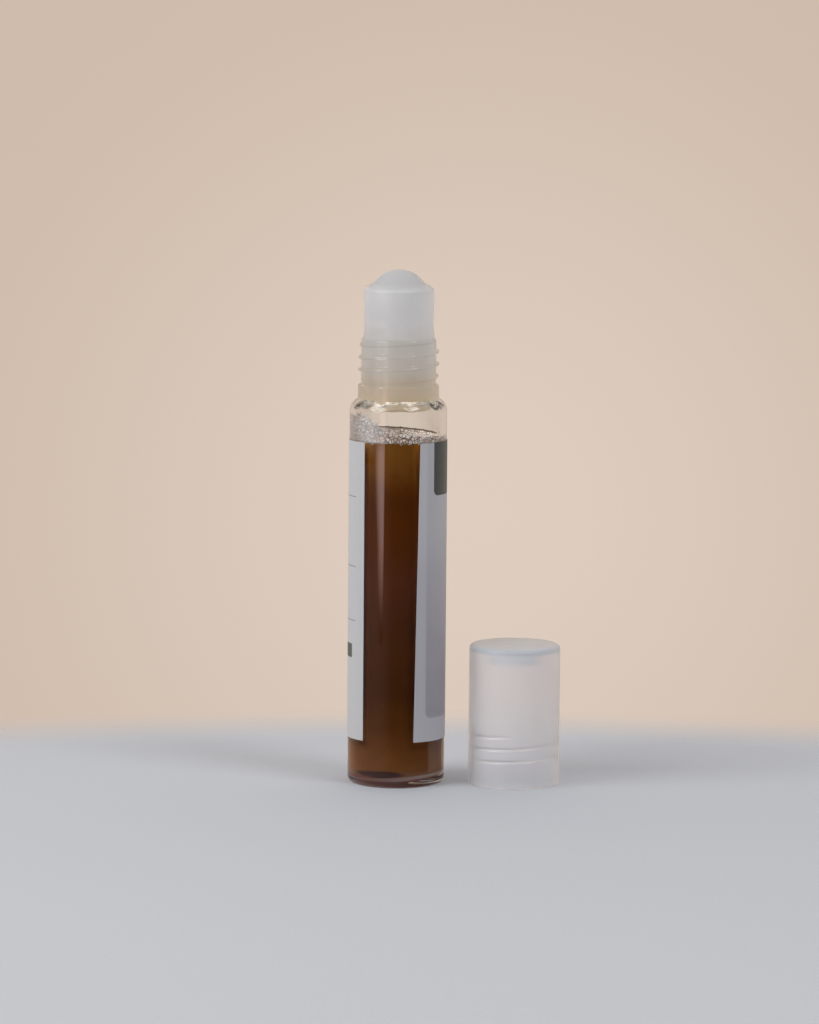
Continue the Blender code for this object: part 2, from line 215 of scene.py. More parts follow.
# Print on the label
PRINT_EDGE = 0.00005
PATCH_ANGLES = angles(47, 133)
PATCH_HEIGHTS = (0.0604, 0.0800)
PATCH_CORNER = 0.0012
PATCH_ROUGHNESS = 0.42
PATCH_COLOURS = ((0.065, 0.075, 0.07), (0.08, 0.09, 0.085))
PANEL_ANGLES = angles(36.5, 143.5)
PANEL_HEIGHTS = (0.0145, 0.0800)
PANEL_CORNER = 0.0015
PANEL_SOFT = 0.0002
PANEL_HEAD = (0.056, 0.018)
PANEL_HEAD_SHARES = (0.25, 1.0)
PANEL_MOTTLE_SCALE = 240.0
PANEL_COLOURS = ((0.355, 0.335, 0.355), (0.425, 0.40, 0.425))
RULE_ANGLES = angles(-150, -57)
RULE_HEIGHTS = (0.0599, 0.0455, 0.0343)
RULE_HALF = 0.00008
RULE_COLOUR = (0.22, 0.23, 0.24)
BAR_ANGLES = angles(-104, -65)
BAR_HEIGHTS = (0.0265, 0.0294)
BAR_CORNER = 0.0003
BAR_COLOUR = (0.10, 0.12, 0.11)

# Colours of the serum, by share of its height, with painted light: brighter near the froth and the base,
# darkest between
SERUM_HEIGHTS = (0.0, 0.075)
SERUM_DRIFT = 0.006
SERUM_DRIFT_SCALE = 160.0
SERUM_LIGHT_STOPS = (
    (0.02, (0.215, 0.082, 0.022)),
    (0.05, (0.172, 0.055, 0.011)),
    (0.12, (0.107, 0.032, 0.003)),
    (0.22, (0.064, 0.0145, 0.0027)),
    (0.33, (0.087, 0.024, 0.0045)),
    (0.45, (0.084, 0.023, 0.0065)),
    (0.55, (0.090, 0.024, 0.0075)),
    (0.66, (0.110, 0.029, 0.0115)),
    (0.76, (0.100, 0.024, 0.0030)),
    (0.87, (0.112, 0.024, 0.0010)),
    (0.925, (0.098, 0.022, 0.0010)),
    (0.96, (0.116, 0.028, 0.0010)),
    (1.0, (0.240, 0.092, 0.012)),
)

# Painted light at the sides of the serum, away from a middle that lies a little to the left
SERUM_MIDDLE_ANGLE = radians(-8.5)
SIDE_LIGHT_GAIN = 1.9
SIDE_ANGLES = angles(26, 39)
SIDE_FOOT = (0.0085, 0.0115)
SIDE_HEAD = (0.068, 0.060)
TOP_SIDE_ANGLES = angles(25, 34)
TOP_SIDE_FOOT = (0.0580, 0.0640)
TOP_SIDE_SHARE = 0.42

# Foot of the serum: painted light on its underside, a painted highlight ring round it and a dark blot, and
# the specks all over
UNDERSIDE_HEIGHTS = (0.0026, 0.0022)
UNDERSIDE_LIGHT_COLOUR = (0.24, 0.068, 0.042)
RING_RADIUS = 0.0067
RING_FADE = (0.0008, 0.0002)
RING_HEAD = (0.0030, 0.0026)
RING_ACROSS = (-0.006, 0.006)
RING_SHARES = (0.35, 1.0)
HIGHLIGHT_RING_COLOUR = (0.45, 0.30, 0.24)
BLOT_ANGLE = radians(-22)
BLOT_Z = 0.0028
BLOT_STRETCH_ROUND = 0.62
BLOT_STRETCH_UP = 520.0
BLOT_DRIFT = 0.3
BLOT_FADE = (0.64, 0.42)
BLOT_SHARE = 0.92
BLOT_COLOUR = (0.045, 0.010, 0.006)
SPECK_SCALE = 330.0
SPECK_FADE = (0.07, 0.03)
SPECK_SHARE = 0.5
SPECK_COLOUR = (0.30, 0.17, 0.06)

# Froth, which clings to the glass at the left
FROTH_RISE = 0.0009
FROTH_SLOPE_SHARE = 0.06
FROTH_LUMP = 0.00010
FROTH_EDGE_CLIMB = 0.0008
FROTH_CLIMB = 0.0030
FROTH_EDGE_SHARE = 0.9
FROTH_RINGS = 26
FROTH_COLUMNS = 120
FROTH_SMOOTH_ANGLE = radians(80)
CLING_END_ANGLE = radians(-150)
CLING_TOP_ANGLE = radians(-100)
CLING_FULL_ANGLE = radians(-48)
CLING_START_ANGLE = radians(-4)
CLING_BUBBLES_ANGLE = CLING_FULL_ANGLE + radians(26)
CLING_SCATTER = 0.0012
CLING_SCATTER_POWER = 3
CLING_SIZE_SHARE = 0.7
BUBBLE_COUNT = 1400
BUBBLE_KINDS = ("clings", "at wall", "on top")
BUBBLE_SMALLEST = 0.00010
BUBBLE_LARGEST = 0.00024
BUBBLE_SIZE_POWER = 2
BUBBLE_PRESS_SHARE = 0.05
BUBBLE_SINK_SHARE = 0.9
RAGGED_COUNT = 260
RAGGED_DROP = 0.0003
RAGGED_DROP_POWER = 2
RAGGED_DEPTH_SHARE = 0.8

# Colours of the froth, each in the middle and at the left; painted light brightens it towards the right,
# and it is darker at its far left edge
FROTH_DIM = ((0.47, 0.36, 0.28), (0.89, 0.78, 0.725))
FROTH_PALE = ((0.96, 0.86, 0.78), (0.93, 0.845, 0.79))
FROTH_SEAM = ((0.19, 0.11, 0.07), (0.72, 0.61, 0.56))
FROTH_CREST = (0.12, 0.07, 0.045)
FROTH_CELL_SCALE = 1500.0
FROTH_CELL_DEPTH = 0.00006
SEAM_WIDTHS = (0.03, 0.17)
FROTH_LEFT = (0.0, -0.006)
FROTH_LEFT_SHARE = 0.8
FROTH_RIGHT = (0.0, 0.0055)
FROTH_RIGHT_LIGHT_GAIN = 2.15
FROTH_EDGE = (-0.0062, -0.0083)
FROTH_EDGE_GAIN = 0.62
CREST_SHARES = (0.5, 0.2)
CREST_BACK = (0.001, 0.003)
CREST_LEFT = (-0.0055, -0.0045)

# Screw cap
CAP_WALL = 0.0009
CAP_TOP_THICKNESS = 0.0012
CAP_TOP_ROUND = 0.0010
CAP_DOME = 0.00015
CAP_MOUTH_CHAMFER = 0.0002
CAP_THREAD_RISE = 0.00075
CAP_THREAD_TURNS = 2.2
CAP_THREAD_START_ANGLE = radians(290)
CAP_THREAD_DEPTH = 0.00032
CAP_SINK_DEPTH = 0.00018
CAP_SINK_LOSS = 0.92
CAP_RIDGE_HALF_WIDTH = 0.00045
CAP_GATE_ANGLE = radians(-26)
CAP_GATE_REACH = radians(32)
CAP_RING_RADIUS = 0.0040
CAP_RING_WALL = 0.0014
CAP_RING_TAPER = 0.0003

# Finish of the cap: its skirt, the ring inside it, and its thick top
CAP_SKIRT_TINT = (0.99, 0.99, 1.0)
CAP_RING_TINT = (0.90, 0.935, 0.955)
CAP_TOP_TINT = (0.745, 0.785, 0.82)
CAP_LAMP_TINT = (0.88, 0.88, 0.89)
CAP_CLOUD_SCALE = 300.0
CAP_GRAIN_SCALE = 4200.0
CAP_GRAIN_DEPTH = 0.0000008
CAP_ROUGHNESS = (0.285, 0.325)
CAP_CLEARNESS = (0.80, 0.60)
CAP_RING_BLUR = 0.0003
CAP_TOP_START = 0.0006
CAP_TOP_END = 0.0002

# Floor, which fades far from the objects, and in mirrors already beyond a ring round the bottle
FLOOR_RADIUS = 0.55
FLOOR_SEGMENTS = 96
FLOOR_FADE_CENTRE = (0.010, -0.240, 0.0)
FLOOR_FADE = (0.290, 0.338)
FLOOR_MIRRORED = (0.016, 0.032)
FLOOR_COLOURS = ((0.54, 0.56, 0.595), (0.61, 0.63, 0.665))
FLOOR_GRAIN_SCALE = 1500.0
FLOOR_GRAIN_DEPTH = 0.00008

# Backdrop and room, by direction in the world
BACKDROP_MIDDLE = (0.013, 0.992, -0.120)
BACKDROP_SPREAD = (0.0, 0.13)
BACKDROP_BRIGHT = (0.735, 0.615, 0.52)
BACKDROP_DIM = (0.62, 0.50, 0.415)
BACKDROP_LIGHT = (0.74, 0.67, 0.60)
ROOM_LIGHT = (0.25, 0.265, 0.30)
ROOM_MIRRORED = (0.05, 0.045, 0.04)
ROOM_CEILING = (0.45, 0.45, 0.46)
ROOM_LEFT = (0.26, 0.23, 0.23)
ROOM_ABOVE = (0.10, 0.085, 0.075)
TO_BACKDROP = (-0.35, 0.75)
TO_LEFT = (-0.10, -0.75)
TO_CEILING = (0.30, 0.80)
TO_ABOVE = (0.10, 0.42)

# Tall softbox at the left: corners as angles in degrees and heights, and where its glow changes
STRIP_DISTANCE = 0.6
STRIP_CORNERS = (
    (-40.5, -0.058),
    (-34.3, -0.058),
    (-30.5, 0.006),
    (-27.0, 0.060),
    (-27.0, 0.350),
    (-55.0, 0.350),
    (-55.0, 0.060),
    (-57.0, 0.006),
)
STRIP_STRENGTH = 3.4
STRIP_LEAN = (0.0, radians(5))
STRIP_LEAN_HEIGHTS = (-0.030, 0.002)
STRIP_LEFT = angles(-54, -36)
STRIP_RIGHT = angles(-28, -34)
STRIP_FOOT = (-0.057, -0.022)
STRIP_DIM_HEIGHTS = (0.006, 0.012)
STRIP_DIM_GAINS = (1.0, 0.35)
STRIP_RISE_HEIGHTS = (-0.050, -0.004)
STRIP_RISE_GAINS = (0.93, 1.12)
STRIP_COLOUR_HEIGHTS = (-0.045, 0.005)
STRIP_COLOURS = ((1.0, 0.60, 0.52), (1.0, 0.76, 0.72))

# Wide, dim screen left of the softbox
SCREEN_DISTANCE = 0.62
SCREEN_COLUMNS = 24
SCREEN_ANGLES = angles(-92, -26)
SCREEN_HEIGHTS = (-0.001, 0.30)
SCREEN_LEFT = angles(-92, -58)
SCREEN_RIGHT = angles(-26, -46)
SCREEN_FOOT = (-0.001, 0.007)
SCREEN_STRENGTH = 0.7
SCREEN_COLOUR = (0.97, 0.98, 1.0)

# Lamps: azimuth and elevation, distance, size, power, colour, and whether they light matt surfaces
LAMP_TARGET = Vector((0.008, 0.0, 0.05))
LAMPS = {
    "left_softbox": (angles(-62, 38), 0.9, 0.5, 4.4, (0.99, 0.99, 1.0), True),
    "right_softbox": (angles(48, 48), 1.0, 0.35, 2.5, (0.95, 0.97, 1.0), True),
    "small_lamp": (angles(23, 42), 1.0, 0.02, 0.6, (1.0, 1.0, 1.0), False),
}

# Places that follow
INNER_RADIUS = BODY_RADIUS - BODY_WALL
TOUCH_RADIUS = INNER_RADIUS + CONTACT
BORE_RADIUS = NECK_RADIUS - NECK_WALL
SHOULDER_CENTRE = BODY_RADIUS - SHOULDER_ROUND
SHOULDER_ANGLE = acos((BEAD_RADIUS - SHOULDER_CENTRE) / SHOULDER_ROUND)
BEAD_FOOT_Z = BODY_HEIGHT + SHOULDER_ROUND * sin(SHOULDER_ANGLE)
BEAD_TOP_Z = BEAD_FOOT_Z + BEAD_HEIGHT
THREAD_START_Z = BEAD_TOP_Z + THREAD_FOOT_GAP
HOUSING_RADIUS = HOUSING_HIGH.x - FLANGE_REACH
CAP_INNER_RADIUS = CAP_RADIUS - CAP_WALL
CAP_CEILING_Z = CAP_HEIGHT - CAP_TOP_THICKNESS
CAP_RING_OUTER = CAP_RING_RADIUS + CAP_RING_WALL


# Shapes


def around(radius, angle, height, centre_x=0.0):
    """The point at an angle round an upright axis."""
    return centre_x + radius * sin(angle), -radius * cos(angle), height


def arc(centre_radius, centre_height, radius, start, end, steps=ARC_STEPS):
    """Points of an arc in a profile, with angles in radians up from the outward direction."""
    turns = [start + (end - start) * step / steps for step in range(steps + 1)]
    return [(centre_radius + radius * cos(turn), centre_height + radius * sin(turn)) for turn in turns]


def rise(radius, start, end, row):
    """Points between two heights at one radius, without the ends."""
    steps = max(1, round(abs(end - start) / row))
    return [(radius, start + (end - start) * step / steps) for step in range(1, steps)]


def bridge(low, high, closed=True):
    """Faces between two rows of points, given by number. A row of one point is a tip."""
    count = max(len(low), len(high))
    faces = []
    for here in range(count if closed else count - 1):
        after = (here + 1) % count
        if len(low) == 1:
            faces.append((low[0], high[after], high[here]))
        elif len(high) == 1:
            faces.append((low[here], low[after], high[0]))
        else:
            faces.append((low[here], low[after], high[after], high[here]))
    return faces


def turned(profile, columns, closed=False, shape=None, centre_x=0.0):
    """Points and faces of a turned form. shape(radius, height, angle) gives a point's own two values."""
    points = []
    rings = []
    for radius, height in profile:
        ring = []
        for column in range(columns if radius > 0.0 else 1):
            angle = tau * column / columns
            here = shape(radius, height, angle) if shape else (radius, height)
            ring.append(len(points))
            points.append(around(here[0], angle, here[1], centre_x))
        rings.append(ring)
    if closed:
        rings.append(rings[0])
    faces = []
    for low, high in zip(rings, rings[1:]):
        faces += bridge(low, high)
    return points, faces


def mesh_from(name, points, faces, smooth_angle=SMOOTH_ANGLE):
    """A mesh from points and faces, with its faces turned outwards."""
    mesh = bpy.data.meshes.new(name)
    mesh.from_pydata(points, [], faces)
    work = bmesh.new()
    work.from_mesh(mesh)
    bmesh.ops.recalc_face_normals(work, faces=work.faces)
    work.to_mesh(mesh)
    work.free()
    mesh.shade_smooth()
    mesh.set_sharp_from_angle(angle=smooth_angle)
    return mesh


def in_scene(name, data):
    """A new object in the scene."""
    item = bpy.data.objects.new(name, data)
    bpy.context.scene.collection.objects.link(item)
    return item


def new_piece(name, mesh, body, slot, stands_for, paint, *look):
    """A painted object that rides on its body and replaces its plain solid."""
    item = in_scene(name, mesh)
    mesh.materials.append(new_material(slot, paint, *look))
    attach(item, body)
    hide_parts(stands_for)


def thread_share(angle, height, half_width, start_height, start_angle, turns):
    """Share of a rising thread's depth at a place: 1 on its crest, and 0 beside it and past its ends."""
    first = ((angle - start_angle) / tau) % 1.0
    travelled = first + round((height - start_height) / THREAD_PITCH - first)
    if not 0.0 <= travelled <= turns:
        return 0.0
    off_crest = abs(height - start_height - THREAD_PITCH * travelled) / half_width
    ridge = (0.5 + 0.5 * cos(pi * min(off_crest, 1.0))) ** THREAD_CREST_POWER
    from_end = min(travelled, turns - travelled) / THREAD_RUN_OUT_TURNS
    return ridge * sin(min(from_end, 1.0) * pi / 2)


def signed_angle(angle):
    """The same angle, between a half turn left and a half turn right of the front."""
    return angle - tau if angle > pi else angle


def ease(value, start, end):
    """0 before start and 1 after end, with a smooth change between."""
    share = min(max((value - start) / (end - start), 0.0), 1.0)
    return share * share * (3.0 - 2.0 * share)


# Nodes of materials


def add(tree, kind, inputs=None, **settings):
    """The outputs of a new shader node, whose inputs are set or linked by name or number."""
    node = tree.nodes.new("ShaderNode" + kind)
    for key, value in settings.items():
        setattr(node, key, value)
    for key, value in (inputs or {}).items():
        socket = node.inputs[key]
        if isinstance(value, bpy.types.NodeSocket):
            tree.links.new(value, socket)
        else:
            socket.default_value = (*value, 1.0) if socket.type == "RGBA" else value
    return node.outputs


def compute(tree, operation, first, second=0.0, third=0.0):
    """A Math node's result."""
    return add(tree, "Math", {0: first, 1: second, 2: third}, operation=operation)[0]


def minus(tree, first, second):
    """The first value less the second."""
    return compute(tree, "SUBTRACT", first, second)


def product(tree, first, *others):
    """Values multiplied together."""
    for other in others:
        first = compute(tree, "MULTIPLY", first, other)
    return first


def apart(tree, value, middle):
    """How far a value lies from a middle, either way."""
    return compute(tree, "ABSOLUTE", minus(tree, value, middle))


def distance(tree, first, second=(0.0, 0.0, 0.0)):
    """The distance between two points."""
    return add(tree, "VectorMath", {0: first, 1: second}, operation="DISTANCE")["Value"]


def flat_length(tree, x, y):
    """The length of a vector with two parts."""
    return distance(tree, add(tree, "CombineXYZ", {0: x, 1: y})[0])


def smooth(tree, value, span, levels=(0.0, 1.0)):
    """A value that goes smoothly from one level to the other over a span."""
    inputs = dict(zip(("Value", "From Min", "From Max", "To Min", "To Max"), (value, *span, *levels)))
    return add(tree, "MapRange", inputs, interpolation_type="SMOOTHSTEP")[0]


def fades(tree, *changes):
    """Smooth changes multiplied together, each a value, its span and, if need be, its levels."""
    return product(tree, *[smooth(tree, *change) for change in changes])


def mix(tree, share, first, second):
    """Two colours mixed, by the Mix node's colour sockets."""
    return add(tree, "Mix", {0: share, 6: first, 7: second}, data_type="RGBA")[2]


def brighten(tree, colour, gain):
    """A colour times a number."""
    return add(tree, "VectorMath", {0: colour, "Scale": gain}, operation="SCALE")[0]


def ramp_colour(tree, share, stops, interpolation="LINEAR"):
    """A colour from (share, colour) stops."""
    colour = add(tree, "ValToRGB", {0: share})[0]
    ramp = colour.node.color_ramp
    ramp.interpolation = interpolation
    while len(ramp.elements) < len(stops):
        ramp.elements.new(0.5)
    for element, (position, shade) in zip(ramp.elements, stops):
        element.position = position
        element.color = (*shade, 1.0)
    return colour


def parts(tree, vector):
    """The three parts of a vector."""
    return add(tree, "SeparateXYZ", {0: vector})[:]


def turn_round(tree, x, y):
    """The angle round the bottle's axis."""
    return compute(tree, "ARCTAN2", x, product(tree, y, -1.0))


def noise(tree, point, scale, detail, roughness=0.5):
    """A noise value from 0 to 1."""
    inputs = {"Vector": point, "Scale": scale, "Detail": detail, "Roughness": roughness}
    return add(tree, "TexNoise", inputs)[0]


def cells(tree, point, scale, feature="F1"):
    """Rounded cells of random size: the outputs of a Voronoi node."""
    return add(tree, "TexVoronoi", {"Vector": point, "Scale": scale}, feature=feature)


def bump(tree, height, depth):
    """A normal from a height map, whose full range is depth metres."""
    return add(tree, "Bump", {"Height": height, "Distance": depth})[0]


def principled(tree, inputs, lamp_tint=None):
    """A Principled shader. With a lamp tint, rays from lamps and matt surfaces go straight through it."""
    surface = add(tree, "BsdfPrincipled", inputs)[0]
    if lamp_tint:
        rays = add(tree, "LightPath")
        clear = add(tree, "BsdfTransparent", {"Color": lamp_tint})[0]
        for ray in ("Is Diffuse Ray", "Is Shadow Ray"):
            surface = add(tree, "MixShader", {0: rays[ray], 1: surface, 2: clear})[0]
    return surface


def new_material(name, paint, *look):
    """A material whose nodes are made by paint(tree, point, *look), with the point in metres."""
    material = bpy.data.materials.new(name)
    material.use_nodes = True
    tree = material.node_tree
    tree.nodes.clear()
    add(tree, "OutputMaterial", {0: paint(tree, add(tree, "TexCoord")["Object"], *look)})
    return material


# Materials


def glass_surface(tree, point):
    """Clear drawn glass: faint waves, a trace of grime in its gloss, a cool tint, and painted shade on the
    neck thread's lower flank.
    """
    x, y, z = parts(tree, point)
    wide = add(tree, "Mapping", {"Vector": point, "Scale": GLASS_WAVE_STRETCH})[0]
    waves = noise(tree, wide, GLASS_WAVE_SCALE, detail=2.0)
    grime = noise(tree, point, GRIME_SCALE, detail=4.0, roughness=0.6)
    turns_up = product(tree, minus(tree, z, THREAD_START_Z), 1.0 / THREAD_PITCH)
    turn = minus(tree, turn_round(tree, x, y), THREAD_START_ANGLE)
    turns_round = product(tree, turn, 1.0 / tau)
    phase = compute(tree, "FRACT", minus(tree, turns_up, turns_round))
    # Painted shade on the lower flank of the neck's thread
    flank_shade = product(
        tree,
        smooth(tree, apart(tree, phase, FLANK_PHASE), (FLANK_REACH, 0.0)),
        compute(tree, "GREATER_THAN", flat_length(tree, x, y), NECK_RADIUS - CONTACT),
        smooth(tree, z, (BEAD_TOP_Z, THREAD_START_Z)),
    )
    inputs = {
        "Base Color": mix(tree, flank_shade, GLASS_TINT, FLANK_SHADE_COLOUR),
        "Roughness": smooth(tree, grime, GRIME_SHARES, (0.0, GRIME_ROUGHNESS)),
        "IOR": 1.5,
        "Transmission Weight": 1.0,
        "Normal": bump(tree, waves, GLASS_WAVE_DEPTH),
    }
    return principled(tree, inputs, GLASS_LAMP_TINT)


def housing_colour(tree, point, cloud):
    """The housing's colour by height, with soft clouds in it, and painted light and shade in the neck and
    at the rim.
    """
    shift = compute(tree, "MULTIPLY_ADD", cloud, MILK_CLOUD, -MILK_CLOUD / 2)
    up = compute(tree, "ADD", parts(tree, point)[2], shift)
    foot, head = HOUSING_STOPS[0][0], HOUSING_STOPS[-1][0]
    share = add(tree, "MapRange", {"Value": up, "From Min": foot, "From Max": head})[0]
    stops = [((height - foot) / (head - foot), colour) for height, colour in HOUSING_STOPS]
    return ramp_colour(tree, share, stops)


def milky_surface(tree, point, roughness, colour=None):
    """Natural milky plastic, of one colour or else the housing's: light sinks in and passes through."""
    cloud = noise(tree, point, MILK_CLOUD_SCALE, detail=3.0)
    grain = noise(tree, point, MILK_GRAIN_SCALE, detail=2.0)
    inputs = {
        "Base Color": colour or housing_colour(tree, point, cloud),
        "Roughness": smooth(tree, cloud, CLOUD_SHARES, [roughness + change for change in ROUGHNESS_SPREAD]),
        "IOR": 1.4,
        "Transmission Weight": 0.5,
        "Subsurface Weight": 0.8,
        "Subsurface Radius": (1.0, 0.95, 0.9),
        "Subsurface Scale": 0.012,
        "Normal": bump(tree, grain, MILK_GRAIN_DEPTH),
    }
    return principled(tree, inputs, MILK_LAMP_TINT)


def cap_surface(tree, point):
    """Translucent natural plastic: half milky haze, half a blurred view through it."""
    x, y, z = parts(tree, point)
    cloud = noise(tree, point, CAP_CLOUD_SCALE, detail=3.0)
    grain = noise(tree, point, CAP_GRAIN_SCALE, detail=2.0)
    from_axis = flat_length(tree, minus(tree, x, CAP_X), y)
    ring = smooth(tree, from_axis, (CAP_RING_OUTER + CAP_RING_BLUR, CAP_RING_OUTER))
    top = smooth(tree, z, (CAP_CEILING_Z - CAP_TOP_START, CAP_CEILING_Z + CAP_TOP_END))
    colour = mix(tree, ring, CAP_SKIRT_TINT, CAP_RING_TINT)
    thick = compute(tree, "MAXIMUM", ring, top)
    inputs = {
        "Base Color": mix(tree, top, colour, CAP_TOP_TINT),
        "Roughness": smooth(tree, cloud, CLOUD_SHARES, CAP_ROUGHNESS),
        "IOR": 1.25,
        "Transmission Weight": smooth(tree, thick, (0.0, 1.0), CAP_CLEARNESS),
        "Coat Weight": 0.4,
        "Coat Roughness": 0.13,
        "Normal": bump(tree, grain, CAP_GRAIN_DEPTH),
    }
    return principled(tree, inputs, CAP_LAMP_TINT)


def serum_side_light(tree, turn, z):
    """Painted light on the serum: 1 in its middle, and more at its sides."""
    from_middle = apart(tree, turn, SERUM_MIDDLE_ANGLE)
    lower = fades(tree, (from_middle, SIDE_ANGLES), (z, SIDE_FOOT), (z, SIDE_HEAD))
    top = fades(tree, (from_middle, TOP_SIDE_ANGLES), (z, TOP_SIDE_FOOT, (0.0, TOP_SIDE_SHARE)))
    return compute(tree, "MULTIPLY_ADD", compute(tree, "MAXIMUM", lower, top), SIDE_LIGHT_GAIN, 1.0)


def serum_foot(tree, brown, drift, turn, x, y, z):
    """The serum's colour with painted light on its underside, a painted highlight ring round it, and the
    dark blot at its left.
    """
    # Painted light on the serum's underside
    brown = mix(tree, smooth(tree, z, UNDERSIDE_HEIGHTS), brown, UNDERSIDE_LIGHT_COLOUR)
    # A painted highlight ring round the serum's foot
    from_highlight_ring = apart(tree, flat_length(tree, x, y), RING_RADIUS)
    ring = fades(tree, (from_highlight_ring, RING_FADE), (z, RING_HEAD), (x, RING_ACROSS, RING_SHARES))
    brown = mix(tree, ring, brown, HIGHLIGHT_RING_COLOUR)
    round_blot = product(tree, minus(tree, turn, BLOT_ANGLE), BLOT_STRETCH_ROUND)
    up_blot = product(tree, minus(tree, z, BLOT_Z), BLOT_STRETCH_UP)
    blot = compute(tree, "MULTIPLY_ADD", drift, BLOT_DRIFT, flat_length(tree, round_blot, up_blot))
    return mix(tree, smooth(tree, blot, BLOT_FADE, (0.0, BLOT_SHARE)), brown, BLOT_COLOUR)


def serum_surface(tree, point):
    """Brown liquid with painted light: brighter near the froth and near the base, and darkest between."""
    x, y, z = parts(tree, point)
    turn = turn_round(tree, x, y)
    drift = noise(tree, point, SERUM_DRIFT_SCALE, detail=2.0)
    height = compute(tree, "MULTIPLY_ADD", drift, SERUM_DRIFT, z)
    # Painted light: brighter near the froth and near the base, darkest between
    brown = ramp_colour(tree, smooth(tree, height, SERUM_HEIGHTS), SERUM_LIGHT_STOPS, "B_SPLINE")
    # Painted light at the serum's sides
    brown = brighten(tree, brown, serum_side_light(tree, turn, z))
    brown = serum_foot(tree, brown, drift, turn, x, y, z)
    specks = cells(tree, point, SPECK_SCALE)["Distance"]
    inputs = {
        "Base Color": mix(tree, smooth(tree, specks, SPECK_FADE, (0.0, SPECK_SHARE)), brown, SPECK_COLOUR),
        "Roughness": 0.3,
        "IOR": 1.0,
        "Subsurface Weight": 1.0,
        "Subsurface Radius": (1.0, 0.6, 0.3),
        "Subsurface Scale": 0.002,
    }
    return principled(tree, inputs)


def froth_crest(tree, x, y, z):
    """1 along the froth's dark top edge at the back, and 0 elsewhere."""
    top = compute(tree, "MULTIPLY_ADD", x, FROTH_SLOPE_SHARE, z)
    crest_z = SERUM_TOP_Z + FROTH_RISE + FROTH_EDGE_CLIMB
    crest = [crest_z - FROTH_EDGE_CLIMB * share for share in CREST_SHARES]
    return fades(tree, (top, crest), (y, CREST_BACK), (x, CREST_LEFT))


def froth_surface(tree, point):
    """Small clear bubbles with a brown film between them, and painted light towards the right."""
    x, y, z = parts(tree, point)
    bubbles = cells(tree, point, FROTH_CELL_SCALE)
    edges = cells(tree, point, FROTH_CELL_SCALE, "DISTANCE_TO_EDGE")["Distance"]
    left = smooth(tree, x, FROTH_LEFT, (0.0, FROTH_LEFT_SHARE))
    dim, pale, seam = [mix(tree, left, *pair) for pair in (FROTH_DIM, FROTH_PALE, FROTH_SEAM)]
    film = mix(tree, parts(tree, bubbles["Color"])[0], dim, pale)
    colour = mix(tree, smooth(tree, edges, SEAM_WIDTHS), seam, film)
    # Painted light brightens the froth towards the right; it is darker at its far left edge
    gain = fades(tree, (x, FROTH_RIGHT, (1.0, FROTH_RIGHT_LIGHT_GAIN)), (x, FROTH_EDGE, (1.0, FROTH_EDGE_GAIN)))
    inputs = {
        "Base Color": mix(tree, froth_crest(tree, x, y, z), brighten(tree, colour, gain), FROTH_CREST),
        "Roughness": 0.5,
        "IOR": 1.12,
        "Subsurface Weight": 0.7,
        "Subsurface Radius": (1.0, 0.8, 0.7),
        "Subsurface Scale": 0.0005,
        "Normal": bump(tree, bubbles["Distance"], FROTH_CELL_DEPTH),
    }
    return principled(tree, inputs)


def printed_box(tree, turn, z, box_angles, heights, corner, soft=0.0):
    """1 inside a box with round corners, given by its two angles and two heights, and 0 outside."""
    ends = [BODY_RADIUS * angle for angle in box_angles]
    outside = []
    for value, (low, high) in ((product(tree, turn, BODY_RADIUS), ends), (z, heights)):
        beyond = minus(tree, apart(tree, value, (low + high) / 2), (high - low) / 2 - corner)
        outside.append(compute(tree, "MAXIMUM", beyond, 0.0))
    edge = PRINT_EDGE + soft
    return smooth(tree, flat_length(tree, *outside), (corner + edge, corner - edge))


def label_surface(tree, point):
    """Matt pale label stock with painted shade low on its right face: a dark patch and a faint panel on its
    main face, rules on its other face.
    """
    x, y, z = parts(tree, point)
    turn = turn_round(tree, x, y)
    grain = noise(tree, point, STOCK_GRAIN_SCALE, detail=3.0)
    mottle = noise(tree, point, PANEL_MOTTLE_SCALE, detail=2.0)
    # Painted shade: the stock darkens a little towards its foot on the right face
    head = (z, RIGHT_SHADE_HEAD, RIGHT_SHADE_HEAD_SHARES)
    painted_shade = fades(tree, head, (z, RIGHT_SHADE_FOOT), (turn, RIGHT_SHADE_START), (turn, RIGHT_SHADE_END))
    colour = mix(tree, painted_shade, mix(tree, grain, STOCK_DARK, STOCK_PALE), RIGHT_SHADE_COLOUR)
    panel = product(
        tree,
        printed_box(tree, turn, z, PANEL_ANGLES, PANEL_HEIGHTS, PANEL_CORNER, PANEL_SOFT),
        smooth(tree, z, PANEL_HEAD, PANEL_HEAD_SHARES),
    )
    colour = mix(tree, panel, colour, mix(tree, mottle, *PANEL_COLOURS))
    patch = printed_box(tree, turn, z, PATCH_ANGLES, PATCH_HEIGHTS, PATCH_CORNER)
    colour = mix(tree, patch, colour, mix(tree, grain, *PATCH_COLOURS))
    for height in RULE_HEIGHTS:
        span = (height - RULE_HALF, height + RULE_HALF)
        rule = printed_box(tree, turn, z, RULE_ANGLES, span, RULE_HALF / 2)
        colour = mix(tree, rule, colour, RULE_COLOUR)
    bar = printed_box(tree, turn, z, BAR_ANGLES, BAR_HEIGHTS, BAR_CORNER)
    inputs = {
        "Base Color": mix(tree, bar, colour, BAR_COLOUR),
        "Roughness": smooth(tree, patch, (0.0, 1.0), (STOCK_ROUGHNESS, PATCH_ROUGHNESS)),
        "Normal": bump(tree, grain, STOCK_GRAIN_DEPTH),
    }
    return principled(tree, inputs)


# Pieces


def dished_floor(height, corner_radius):
    """Points from the middle of the inner floor, its lowest place, to the foot of its corner."""
    lowest = height - FLOOR_DISH
    shares = [step / ARC_STEPS for step in range(ARC_STEPS)]
    return [(corner_radius * share, lowest + FLOOR_DISH * share**FLOOR_DISH_POWER) for share in shares]


